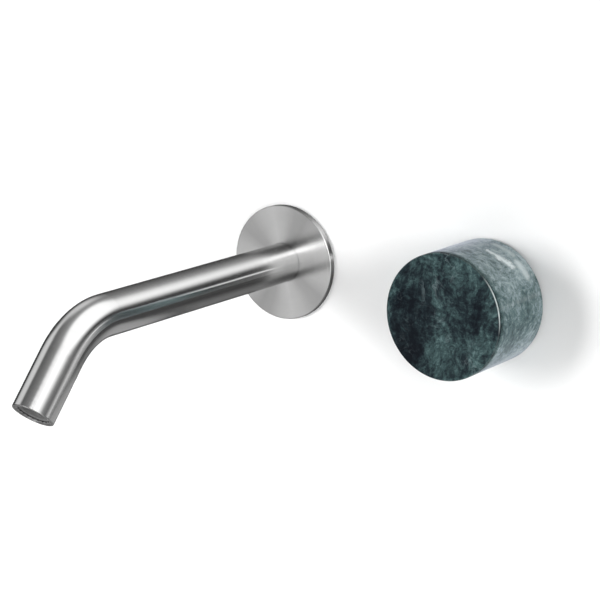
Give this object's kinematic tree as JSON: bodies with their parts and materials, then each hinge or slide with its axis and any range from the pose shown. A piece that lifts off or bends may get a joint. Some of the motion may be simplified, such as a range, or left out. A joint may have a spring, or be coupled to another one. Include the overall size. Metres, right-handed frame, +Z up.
{
  "type": "wall mounted bath faucet",
  "caption": "Wall mounted bath faucet: round bent spout with a thin rosette, a separate round marble control knob and the concealed mixer that joins them.",
  "frame": {"origin": "on the spout axis, in the plane of the finished wall that the rosette's back rests on", "axes": "+Y into the wall, so the faucet faces -Y; +X to the right towards the knob; +Z up"},
  "size_m": [0.222, 0.3374, 0.108],
  "materials": {
    "black_rubber": "moulded",
    "brass": "machined",
    "brushed_stainless": "satin, turned and brushed",
    "chromed_sleeve": "bright chrome",
    "copper": "drawn copper tube",
    "dark_plastic": "moulded acetal",
    "disc_ceramic": "lapped alumina",
    "fibre_washer": "pressed fibre",
    "foam_rubber": "closed cell foam",
    "green_marble": "polished, veined",
    "grey_plastic": "moulded acetal",
    "stainless_hardware": "plain stainless",
    "white_plastic": "moulded acetal",
    "zinc_steel": "zinc plated"
  },
  "bodies": {
    "mixer": {"spout_tube": "brushed_stainless", "spout_rosette": "brushed_stainless", "rosette_gasket": "foam_rubber", "rosette_o_ring": "black_rubber", "spout_socket": "brass", "spout_grub_screw": "stainless_hardware", "spout_nipple": "brass", "nipple_o_ring_front": "black_rubber", "nipple_o_ring_rear": "black_rubber", "nipple_seal_washer": "fibre_washer", "spout_elbow": "brass", "aerator_housing": "dark_plastic", "aerator_insert": "grey_plastic", "aerator_mesh": "stainless_hardware", "aerator_seal": "black_rubber", "cross_pipe": "copper", "elbow_compression_nut": "brass", "elbow_olive": "brass", "valve_compression_nut": "brass", "valve_olive": "brass", "valve_body": "brass", "hot_inlet_union": "brass", "cold_inlet_union": "brass", "hot_union_washer": "fibre_washer", "cold_union_washer": "fibre_washer", "hot_strainer": "stainless_hardware", "cold_strainer": "stainless_hardware", "hot_check_housing": "grey_plastic", "cold_check_housing": "grey_plastic", "hot_check_spring": "stainless_hardware", "cold_check_spring": "stainless_hardware", "cartridge_base": "white_plastic", "cartridge_port_seals": "black_rubber", "fixed_disc": "disc_ceramic", "cartridge_housing": "white_plastic", "cartridge_nut": "brass", "cartridge_o_ring": "black_rubber", "trim_sleeve": "chromed_sleeve", "sleeve_o_ring": "black_rubber", "mounting_bracket": "zinc_steel", "bracket_screws": "stainless_hardware", "wall_screws": "stainless_hardware"},
    "knob": {"marble_knob": "green_marble", "knob_insert": "brass", "knob_carrier": "brass", "carrier_screw": "stainless_hardware", "knob_grub_screw": "stainless_hardware", "cartridge_stem": "brass", "stem_o_ring": "black_rubber", "disc_carrier": "white_plastic", "moving_disc": "disc_ceramic"},
    "hot_poppet": {"hot_check_poppet": "grey_plastic", "hot_check_seal": "black_rubber"},
    "cold_poppet": {"cold_check_poppet": "grey_plastic", "cold_check_seal": "black_rubber"}
  },
  "joints": [
    {"name": "knob_turn", "type": "hinge", "parent": "mixer", "child": "knob", "pos_m": [0.14, 0, 0], "axis": [0, -1, 0], "range_deg": [0, 120]},
    {"name": "hot_check_lift", "type": "slide", "parent": "mixer", "child": "hot_poppet", "axis": [0, 0, 1], "range_m": [0, 0.002], "stiffness_N_per_m": 120, "springref_m": -0.003, "deforming": ["hot_check_spring"]},
    {"name": "cold_check_lift", "type": "slide", "parent": "mixer", "child": "cold_poppet", "axis": [0, 0, 1], "range_m": [0, 0.002], "stiffness_N_per_m": 120, "springref_m": -0.003, "deforming": ["cold_check_spring"]}
  ]
}
